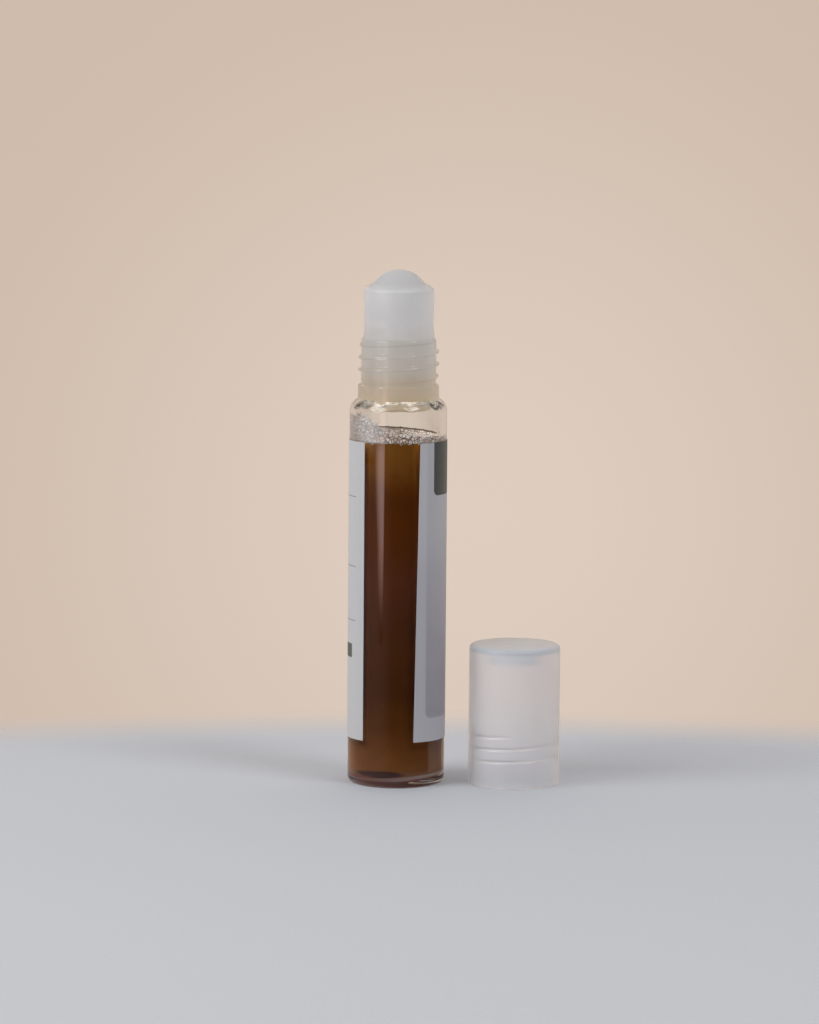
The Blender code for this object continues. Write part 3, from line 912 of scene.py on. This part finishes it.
def floor_tilt(across, height):
    """How far the uneven floor rises at a place across it; the wall above its corner stays."""
    share = 1.0 - min(max(0.0, (height - FLOOR_THICKNESS) / FLOOR_ROUND), 1.0)
    lift = FLOOR_TILT_SHARE * (across - INNER_RADIUS / 2) * share
    depth = min(max((FLOOR_THICKNESS - height) / FLOOR_DISH, 0.0), 1.0)
    rise_at_right = FLOOR_DISH * FLOOR_DISH_LOSS * max(across, 0.0) / INNER_RADIUS
    return lift * (1.0 - depth) + rise_at_right * depth


def make_glass_bottle():
    """Clear glass: a thick uneven base, a rounded shoulder, a transfer bead and a threaded neck."""
    inner_round = max(SHOULDER_ROUND - BODY_WALL, LIP_ROUND)
    inner_shoulder = INNER_RADIUS - inner_round
    floor_corner = INNER_RADIUS - FLOOR_ROUND
    corner_z = FLOOR_THICKNESS + FLOOR_ROUND
    bore_foot = BODY_HEIGHT + inner_round + BORE_FOOT_RISE
    lip_foot = LIP_Z - LIP_ROUND
    bead_corner = (BEAD_RADIUS - BEAD_ROUND, BEAD_TOP_Z - BEAD_ROUND)
    profile = [
        *dished_floor(FLOOR_THICKNESS, floor_corner),
        *arc(floor_corner, corner_z, FLOOR_ROUND, -pi / 2, 0.0),
        *rise(INNER_RADIUS, corner_z, BODY_HEIGHT, WALL_ROW),
        *arc(inner_shoulder, BODY_HEIGHT, inner_round, 0.0, pi / 2),
        (BORE_RADIUS, bore_foot),
        *rise(BORE_RADIUS, bore_foot, lip_foot, WALL_ROW),
        *arc(BORE_RADIUS + LIP_ROUND, lip_foot, LIP_ROUND, pi, pi / 2, LIP_STEPS),
        *arc(NECK_RADIUS - LIP_ROUND, lip_foot, LIP_ROUND, pi / 2, 0.0, LIP_STEPS),
        *rise(NECK_RADIUS, lip_foot, BEAD_TOP_Z, THREAD_ROW),
        (NECK_RADIUS, BEAD_TOP_Z),
        *arc(*bead_corner, BEAD_ROUND, pi / 2, 0.0, LIP_STEPS),
        *arc(SHOULDER_CENTRE, BODY_HEIGHT, SHOULDER_ROUND, SHOULDER_ANGLE, 0.0),
        *rise(BODY_RADIUS, BODY_HEIGHT, BASE_ROUND, WALL_ROW),
        *arc(BODY_RADIUS - BASE_ROUND, BASE_ROUND, BASE_ROUND, 0.0, -pi / 2),
    ]
    for step in range(PUNT_STEPS + 1):
        share = step / PUNT_STEPS
        profile.append((PUNT_RADIUS * (1.0 - share), PUNT_RISE * sin(share * pi / 2)))
    turns = (NECK_HEIGHT - THREAD_FOOT_GAP - THREAD_LIP_GAP) / THREAD_PITCH
    thread = (THREAD_START_Z, THREAD_START_ANGLE, turns)

    def shape(radius, height, angle):
        if abs(radius - NECK_RADIUS) < CONTACT and BEAD_TOP_Z < height < lip_foot:
            return radius + THREAD_DEPTH * thread_share(angle, height, THREAD_HALF_WIDTH, *thread), height
        if hypot(radius - inner_shoulder, height - BODY_HEIGHT) <= inner_round + CONTACT:
            lift = sum(high * sin(count * angle + phase) for count, phase, high in SHOULDER_WAVES)
            return radius, height + SHOULDER_WAVE * lift * (height - BODY_HEIGHT) / inner_round
        if radius <= INNER_RADIUS and PUNT_RISE + CONTACT < height <= corner_z:
            return radius, height + floor_tilt(radius * sin(angle), height)
        return radius, height

    mesh = mesh_from("glass_bottle", *turned(profile, GLASS_COLUMNS, shape=shape))
    new_piece("clear_glass_bottle", mesh, "bottle", "clear_glass", "glass_bottle", glass_surface)


def make_serum():
    """The liquid, in touch with the glass all round."""
    bottom = FLOOR_THICKNESS - CONTACT
    corner_radius = TOUCH_RADIUS - FLOOR_ROUND
    profile = [
        (0.0, SERUM_TOP_Z),
        (TOUCH_RADIUS / 2, SERUM_TOP_Z),
        (TOUCH_RADIUS, SERUM_TOP_Z),
        *rise(TOUCH_RADIUS, SERUM_TOP_Z, bottom + FLOOR_ROUND, WALL_ROW),
        *arc(corner_radius, bottom + FLOOR_ROUND, FLOOR_ROUND, 0.0, -pi / 2),
        *reversed(dished_floor(bottom, corner_radius)),
    ]

    def shape(radius, height, angle):
        return radius, height + floor_tilt(radius * sin(angle), height)

    mesh = mesh_from("serum", *turned(profile, SERUM_COLUMNS, shape=shape))
    new_piece("brown_serum", mesh, "bottle", "brown_serum", "serum", serum_surface)


def froth_top(radius, angle):
    """Height of the froth above the liquid: nearly level, but it clings to the wall on the left."""
    level = FROTH_RISE - FROTH_SLOPE_SHARE * radius * sin(angle)
    side = signed_angle(angle)
    patch = ease(side, CLING_END_ANGLE, CLING_TOP_ANGLE) * ease(side, CLING_START_ANGLE, CLING_FULL_ANGLE)
    climb = FROTH_EDGE_CLIMB + FROTH_CLIMB * patch
    return level + climb * ease(radius / INNER_RADIUS, FROTH_EDGE_SHARE, 1.0)


def unit_bubble():
    """Corners and faces of one bubble of unit size."""
    work = bmesh.new()
    bmesh.ops.create_icosphere(work, subdivisions=BUBBLE_SUBDIVISIONS, radius=1.0)
    corners = [corner.co.copy() for corner in work.verts]
    faces = [tuple(corner.index for corner in face.verts) for face in work.faces]
    work.free()
    return corners, faces


def bubble_places():
    """(radius, angle, height, size) of the single bubbles, of each kind by turns."""
    places = []
    for number in range(BUBBLE_COUNT):
        kind = BUBBLE_KINDS[number % len(BUBBLE_KINDS)]
        size = BUBBLE_SMALLEST + (BUBBLE_LARGEST - BUBBLE_SMALLEST) * RANDOM.random() ** BUBBLE_SIZE_POWER
        if kind == "clings":
            size *= CLING_SIZE_SHARE
        radius = TOUCH_RADIUS - size * (1.0 - BUBBLE_PRESS_SHARE)
        if kind == "clings":
            angle = RANDOM.uniform(CLING_END_ANGLE, CLING_BUBBLES_ANGLE)
            top = froth_top(INNER_RADIUS, angle % tau)
            top += RANDOM.random() ** CLING_SCATTER_POWER * CLING_SCATTER
            places.append((radius, angle, SERUM_TOP_Z + top * sqrt(RANDOM.random()), size))
            continue
        if kind == "on top":
            radius *= sqrt(RANDOM.random())
        angle = RANDOM.uniform(0.0, tau)
        top = froth_top(radius, angle)
        if kind == "at wall":
            top -= RANDOM.random() * BUBBLE_SINK_SHARE * top
        places.append((radius, angle, SERUM_TOP_Z + top, size))
    for number in range(RAGGED_COUNT):
        size = RANDOM.uniform(BUBBLE_SMALLEST, BUBBLE_LARGEST)
        angle = RANDOM.uniform(0.0, tau)
        height = SERUM_TOP_Z - RANDOM.random() ** RAGGED_DROP_POWER * RAGGED_DROP
        places.append((TOUCH_RADIUS - size * RAGGED_DEPTH_SHARE, angle, height, size))
    return places


def make_froth():
    """A layer of bubbles: a lumpy body, and single bubbles on it and against the glass."""
    profile = [(TOUCH_RADIUS * ring / FROTH_RINGS, 1.0) for ring in range(FROTH_RINGS + 1)]
    profile += [(TOUCH_RADIUS, 0.0), (0.0, 0.0)]

    def shape(radius, height, angle):
        lump = RANDOM.uniform(-FROTH_LUMP, FROTH_LUMP) if 0.0 < radius < TOUCH_RADIUS else 0.0
        return radius, SERUM_TOP_Z + height * (froth_top(radius, angle) + lump)

    points, faces = turned(profile, FROTH_COLUMNS, shape=shape)
    corners, bubble_faces = unit_bubble()
    for radius, angle, height, size in bubble_places():
        first = len(points)
        middle = Vector(around(radius, angle, height))
        points += [middle + size * corner for corner in corners]
        faces += [tuple(first + index for index in face) for face in bubble_faces]
    mesh = mesh_from("froth", points, faces, FROTH_SMOOTH_ANGLE)
    new_piece("bubble_froth", mesh, "bottle", "froth", "serum_froth", froth_surface)


def make_housing():
    """The cup that keeps the ball, the flange on the lip, and the plug in the neck."""
    socket_radius = BALL_RADIUS + BALL_CLEARANCE
    socket_end = asin((RIM_Z - RIM_EDGE - BALL_Z) / socket_radius)
    drain = -acos(DRAIN_RADIUS / socket_radius)
    hollow_top = BALL_Z + socket_radius * sin(drain) - CUP_FLOOR
    plug_radius = BORE_RADIUS + PLUG_PRESS
    hollow_radius = plug_radius - PLUG_WALL
    flange_radius = HOUSING_RADIUS + FLANGE_REACH
    flange_foot = LIP_Z + CONTACT
    flange_top = flange_foot + FLANGE_THICKNESS
    corner_radius = HOUSING_RADIUS - RIM_CORNER_ROUND
    profile = [
        (socket_radius * cos(socket_end) + RIM_EDGE, RIM_Z),
        *arc(corner_radius, RIM_Z - RIM_CONE_HEIGHT, RIM_CORNER_ROUND, RIM_CORNER_ANGLE, 0.0),
        (HOUSING_RADIUS - WAIST_DEPTH, flange_top + WAIST_HEIGHT),
        (flange_radius, flange_top),
        (flange_radius, flange_foot),
        (plug_radius, flange_foot),
    ]
    for ring_top in [LIP_Z - depth for depth in PLUG_RING_DEPTHS]:
        profile += [
            (plug_radius, ring_top),
            (plug_radius + PLUG_RING_REACH, ring_top - PLUG_RING_HEIGHT / 2),
            (plug_radius, ring_top - PLUG_RING_HEIGHT),
        ]
    profile += [
        (plug_radius, PLUG_END_Z + PLUG_CHAMFER),
        (plug_radius - PLUG_CHAMFER, PLUG_END_Z),
        (hollow_radius, PLUG_END_Z),
        (hollow_radius, hollow_top),
        (DRAIN_RADIUS, hollow_top),
        *arc(0.0, BALL_Z, socket_radius, drain, socket_end, SOCKET_STEPS),
    ]
    mesh = mesh_from("housing", *turned(profile, HOUSING_COLUMNS, closed=True))
    look = (milky_surface, HOUSING_ROUGHNESS)
    new_piece("milky_housing", mesh, "bottle", "natural_housing", "roller_housing", *look)


def make_ball():
    """The ball: an even sphere from a rounded cube, so that its poles don't pinch."""
    work = bmesh.new()
    bmesh.ops.create_cube(work, size=2.0)
    bmesh.ops.subdivide_edges(work, edges=work.edges, cuts=BALL_CUTS, use_grid_fill=True)
    for corner in work.verts:
        corner.co = corner.co.normalized() * BALL_RADIUS
        corner.co.z += BALL_Z
    mesh = bpy.data.meshes.new("ball")
    work.to_mesh(mesh)
    work.free()
    mesh.shade_smooth()
    look = (milky_surface, BALL_ROUGHNESS, BALL_COLOUR)
    new_piece("milky_roller_ball", mesh, "ball", "milky_ball", "roller_ball", *look)


def make_label():
    """One thin sheet round the body, open at the window, as loops up its inside and down its outside."""
    inner = BODY_RADIUS + LABEL_GAP
    outer = inner + LABEL_THICKNESS
    rows = range(LABEL_ROWS + 1)
    left_edge = tau - WINDOW_LEFT_ANGLE
    points = []
    loops = []
    for column in range(LABEL_COLUMNS + 1):
        loop = []
        for radius, row in [(inner, row) for row in rows] + [(outer, row) for row in reversed(rows)]:
            up = row / LABEL_ROWS
            right_edge = WINDOW_RIGHT_BOTTOM_ANGLE * (1.0 - up) + WINDOW_RIGHT_TOP_ANGLE * up
            angle = right_edge + (left_edge - right_edge) * column / LABEL_COLUMNS
            loop.append(len(points))
            points.append(around(radius, angle, LABEL_LOW.z + (LABEL_HIGH.z - LABEL_LOW.z) * up))
        loops.append(loop)
    faces = []
    for low, high in zip(loops, loops[1:]):
        faces += bridge(low, high)
    for end in (loops[0], loops[-1]):
        inside, outside = end[: len(rows)], end[len(rows) :]
        faces += bridge(inside, outside[::-1], closed=False)
    mesh = mesh_from("label", points, faces)
    new_piece("printed_label", mesh, "bottle", "label_film", "wrap_label", label_surface)


def make_cap():
    """One moulding: a plain skirt, a thread inside, and a ring under the top that holds the ball."""
    top_radius = CAP_RADIUS - CAP_TOP_ROUND
    dome_radius = top_radius**2 / (2 * CAP_DOME)
    dome_edge = acos(top_radius / dome_radius)
    ring_end = BALL_Z + sqrt(BALL_RADIUS**2 - CAP_RING_RADIUS**2) - BEAD_FOOT_Z
    thread_start = BEAD_HEIGHT + THREAD_FOOT_GAP + CAP_THREAD_RISE
    fine_foot = thread_start - THREAD_PITCH
    fine_head = thread_start + THREAD_PITCH * (CAP_THREAD_TURNS + 1)
    thread = (thread_start, CAP_THREAD_START_ANGLE, CAP_THREAD_TURNS)

    def wall(radius, *heights):
        """Points up or down a wall, close together along its thread."""
        rows = []
        for start, end, row in zip(heights, heights[1:], (WALL_ROW, THREAD_ROW, WALL_ROW)):
            rows += rise(radius, start, end, row)
        return rows

    profile = arc(0.0, CAP_HEIGHT - dome_radius, dome_radius, pi / 2, dome_edge, DOME_STEPS)
    skirt_top = profile[-1][1] - CAP_TOP_ROUND
    profile[0] = (0.0, CAP_HEIGHT)
    profile += arc(top_radius, skirt_top, CAP_TOP_ROUND, pi / 2, 0.0)[1:]
    profile += wall(CAP_RADIUS, skirt_top, fine_head, fine_foot, CAP_MOUTH_CHAMFER)
    profile += [
        (CAP_RADIUS, CAP_MOUTH_CHAMFER),
        (CAP_RADIUS - CAP_MOUTH_CHAMFER, 0.0),
        (CAP_INNER_RADIUS + CAP_MOUTH_CHAMFER, 0.0),
        (CAP_INNER_RADIUS, CAP_MOUTH_CHAMFER),
        *wall(CAP_INNER_RADIUS, CAP_MOUTH_CHAMFER, fine_foot, fine_head, CAP_CEILING_Z),
        (CAP_INNER_RADIUS, CAP_CEILING_Z),
        (CAP_RING_OUTER, CAP_CEILING_Z),
        (CAP_RING_OUTER - CAP_RING_TAPER, ring_end),
        (CAP_RING_RADIUS, ring_end),
        (CAP_RING_RADIUS, CAP_CEILING_Z),
        (0.0, CAP_CEILING_Z),
    ]

    def shape(radius, height, angle):
        inside = abs(radius - CAP_INNER_RADIUS) < CONTACT
        outside = abs(radius - CAP_RADIUS) < CONTACT
        if not (inside or outside) or not fine_foot < height < fine_head:
            return radius, height
        depth = CAP_THREAD_DEPTH
        if outside:
            from_gate = abs(signed_angle(angle) - CAP_GATE_ANGLE)
            loss = CAP_SINK_LOSS * ease(from_gate, CAP_GATE_REACH / 2, CAP_GATE_REACH)
            depth = CAP_SINK_DEPTH * (1.0 - loss)
        return radius - depth * thread_share(angle, height, CAP_RIDGE_HALF_WIDTH, *thread), height

    mesh = mesh_from("cap", *turned(profile, CAP_COLUMNS, shape=shape, centre_x=CAP_X))
    new_piece("translucent_screw_cap", mesh, "cap", "translucent_cap", "screw_cap", cap_surface)


# Stage


def floor_surface(tree, point):
    """Pale grain that fades into the backdrop's colour."""
    grain = noise(tree, point, FLOOR_GRAIN_SCALE, detail=4.0, roughness=0.7)
    inputs = {
        "Base Color": mix(tree, grain, *FLOOR_COLOURS),
        "Roughness": 0.8,
        "Normal": bump(tree, grain, FLOOR_GRAIN_DEPTH),
    }
    shader = add(tree, "BsdfPrincipled", inputs)[0]
    rays = add(tree, "LightPath")
    mirrored = minus(tree, rays["Is Reflection Ray"], rays["Is Diffuse Ray"])
    beyond = product(tree, mirrored, smooth(tree, distance(tree, point), FLOOR_MIRRORED))
    away = smooth(tree, distance(tree, point, FLOOR_FADE_CENTRE), FLOOR_FADE)
    fade = compute(tree, "MAXIMUM", away, beyond)
    clear = add(tree, "BsdfTransparent")[0]
    return add(tree, "MixShader", {0: fade, 1: shader, 2: clear})[0]


def make_floor():
    """A round pale floor."""
    work = bmesh.new()
    bmesh.ops.create_circle(work, cap_ends=True, segments=FLOOR_SEGMENTS, radius=FLOOR_RADIUS)
    mesh = bpy.data.meshes.new("floor")
    work.to_mesh(mesh)
    work.free()
    mesh.materials.append(new_material("pale_floor", floor_surface))
    in_scene("floor", mesh)


def make_world():
    """A beige backdrop that is brightest in the middle, its light from behind, and a dim room in front."""
    world = bpy.data.worlds.new("studio")
    bpy.context.scene.world = world
    world.use_nodes = True
    tree = world.node_tree
    tree.nodes.clear()
    direction = add(tree, "TexCoord")["Generated"]
    x, y, z = parts(tree, direction)
    from_middle = smooth(tree, distance(tree, direction, BACKDROP_MIDDLE), BACKDROP_SPREAD)
    seen = mix(tree, from_middle, BACKDROP_BRIGHT, BACKDROP_DIM)
    behind = smooth(tree, y, TO_BACKDROP)
    mirrored = mix(tree, behind, ROOM_MIRRORED, BACKDROP_DIM)
    at_left = product(tree, smooth(tree, x, TO_LEFT), minus(tree, 1.0, behind))
    mirrored = mix(tree, at_left, mirrored, ROOM_LEFT)
    mirrored = mix(tree, smooth(tree, z, TO_CEILING), mirrored, ROOM_CEILING)
    lit = mix(tree, behind, ROOM_LIGHT, BACKDROP_LIGHT)
    through = mix(tree, smooth(tree, z, TO_ABOVE), seen, ROOM_ABOVE)
    rays = add(tree, "LightPath")
    colour = mix(tree, rays["Is Transmission Ray"], seen, through)
    colour = mix(tree, rays["Is Reflection Ray"], colour, mirrored)
    colour = mix(tree, rays["Is Diffuse Ray"], colour, lit)
    add(tree, "OutputWorld", {0: add(tree, "Background", {"Color": colour})[0]})


def make_panel(name, points, faces, light, glow, casts_shadow):
    """A glowing panel that only mirrors and glass show. light is the name of its material."""
    mesh = bpy.data.meshes.new(name)
    mesh.from_pydata(points, [], faces)
    mesh.materials.append(new_material(light, glow))
    panel = in_scene(name, mesh)
    panel.visible_camera = False
    panel.visible_diffuse = False
    panel.visible_shadow = casts_shadow


def strip_glow(tree, point):
    """The softbox's glow: brightest along its right, redder at its foot, and soft at its edges."""
    x, y, z = parts(tree, point)
    turn = turn_round(tree, x, y)
    lean = smooth(tree, z, STRIP_LEAN_HEIGHTS, STRIP_LEAN)
    glow = fades(
        tree,
        (compute(tree, "ADD", turn, lean), STRIP_LEFT),
        (turn, STRIP_RIGHT),
        (z, STRIP_FOOT),
        (z, STRIP_DIM_HEIGHTS, STRIP_DIM_GAINS),
        (z, STRIP_RISE_HEIGHTS, STRIP_RISE_GAINS),
    )
    strength = product(tree, glow, STRIP_STRENGTH)
    colour = mix(tree, smooth(tree, z, STRIP_COLOUR_HEIGHTS), *STRIP_COLOURS)
    return add(tree, "Emission", {"Color": colour, "Strength": strength})[0]


def make_strip_light():
    """A tall softbox at the left, which the glass mirrors as one upright stripe."""
    points = [around(STRIP_DISTANCE, radians(degrees), height) for degrees, height in STRIP_CORNERS]
    make_panel("strip_softbox", points, [tuple(range(len(points)))], "softbox_light", strip_glow, True)


def screen_glow(tree, point):
    """The screen's even glow, which fades at its sides and its foot."""
    x, y, z = parts(tree, point)
    turn = turn_round(tree, x, y)
    glow = fades(tree, (turn, SCREEN_LEFT), (turn, SCREEN_RIGHT), (z, SCREEN_FOOT))
    strength = product(tree, glow, SCREEN_STRENGTH)
    return add(tree, "Emission", {"Color": SCREEN_COLOUR, "Strength": strength})[0]


def make_screen():
    """A wide, dim screen, which the neck mirrors as a soft band."""
    left, right = SCREEN_ANGLES
    turns = [left + (right - left) * step / SCREEN_COLUMNS for step in range(SCREEN_COLUMNS + 1)]
    points = [around(SCREEN_DISTANCE, turn, height) for height in SCREEN_HEIGHTS for turn in turns]
    numbers = range(len(points))
    faces = bridge(numbers[: SCREEN_COLUMNS + 1], numbers[SCREEN_COLUMNS + 1 :], closed=False)
    make_panel("neck_screen", points, faces, "screen_light", screen_glow, False)


def make_lamp(name, aim, away, size, power, colour, lights_matt):
    """A square lamp aimed at the middle of the bottle, from an azimuth and an elevation."""
    azimuth, elevation = aim
    direction = Vector(around(cos(elevation), azimuth, sin(elevation)))
    lamp = bpy.data.lights.new(name, "AREA")
    lamp.size = size
    lamp.energy = power
    lamp.color = colour
    item = in_scene(name, lamp)
    item.location = LAMP_TARGET + direction * away
    item.rotation_mode = "QUATERNION"
    item.rotation_quaternion = direction.to_track_quat("Z", "Y")
    item.visible_camera = False
    item.visible_diffuse = lights_matt


def make_camera():
    """The photograph's camera."""
    data = bpy.data.cameras.new("camera")
    data.lens = CAMERA_LENS
    data.sensor_width = CAMERA_SENSOR
    data.clip_start, data.clip_end = CAMERA_CLIP
    forward = Vector((0.0, cos(CAMERA_PITCH), -sin(CAMERA_PITCH)))
    level = Vector((1.0, 0.0, 0.0))
    upright = level.cross(forward)
    right = level * cos(CAMERA_ROLL) + upright * sin(CAMERA_ROLL)
    up = upright * cos(CAMERA_ROLL) - level * sin(CAMERA_ROLL)
    turn = Matrix((right, up, -forward)).transposed().to_4x4()
    item = in_scene("camera", data)
    item.matrix_world = Matrix.Translation(CAMERA_PLACE) @ turn
    bpy.context.scene.camera = item


def set_render_looks():
    """Plain colours, a clean picture, and enough bounces for glass in glass."""
    bpy.context.scene.view_settings.view_transform = "Standard"
    cycles = bpy.context.scene.cycles
    cycles.use_denoising = True
    cycles.max_bounces = 16
    cycles.diffuse_bounces = 4
    cycles.glossy_bounces = 6
    cycles.transmission_bounces = 14
    cycles.transparent_max_bounces = 32
    cycles.sample_clamp_indirect = 6.0
    cycles.caustics_reflective = False
    cycles.caustics_refractive = True


def main():
    make_camera()
    make_glass_bottle()
    make_serum()
    make_froth()
    make_housing()
    make_ball()
    make_label()
    make_cap()
    make_floor()
    make_world()
    make_strip_light()
    make_screen()
    for name, settings in LAMPS.items():
        make_lamp(name, *settings)
    set_render_looks()


main()
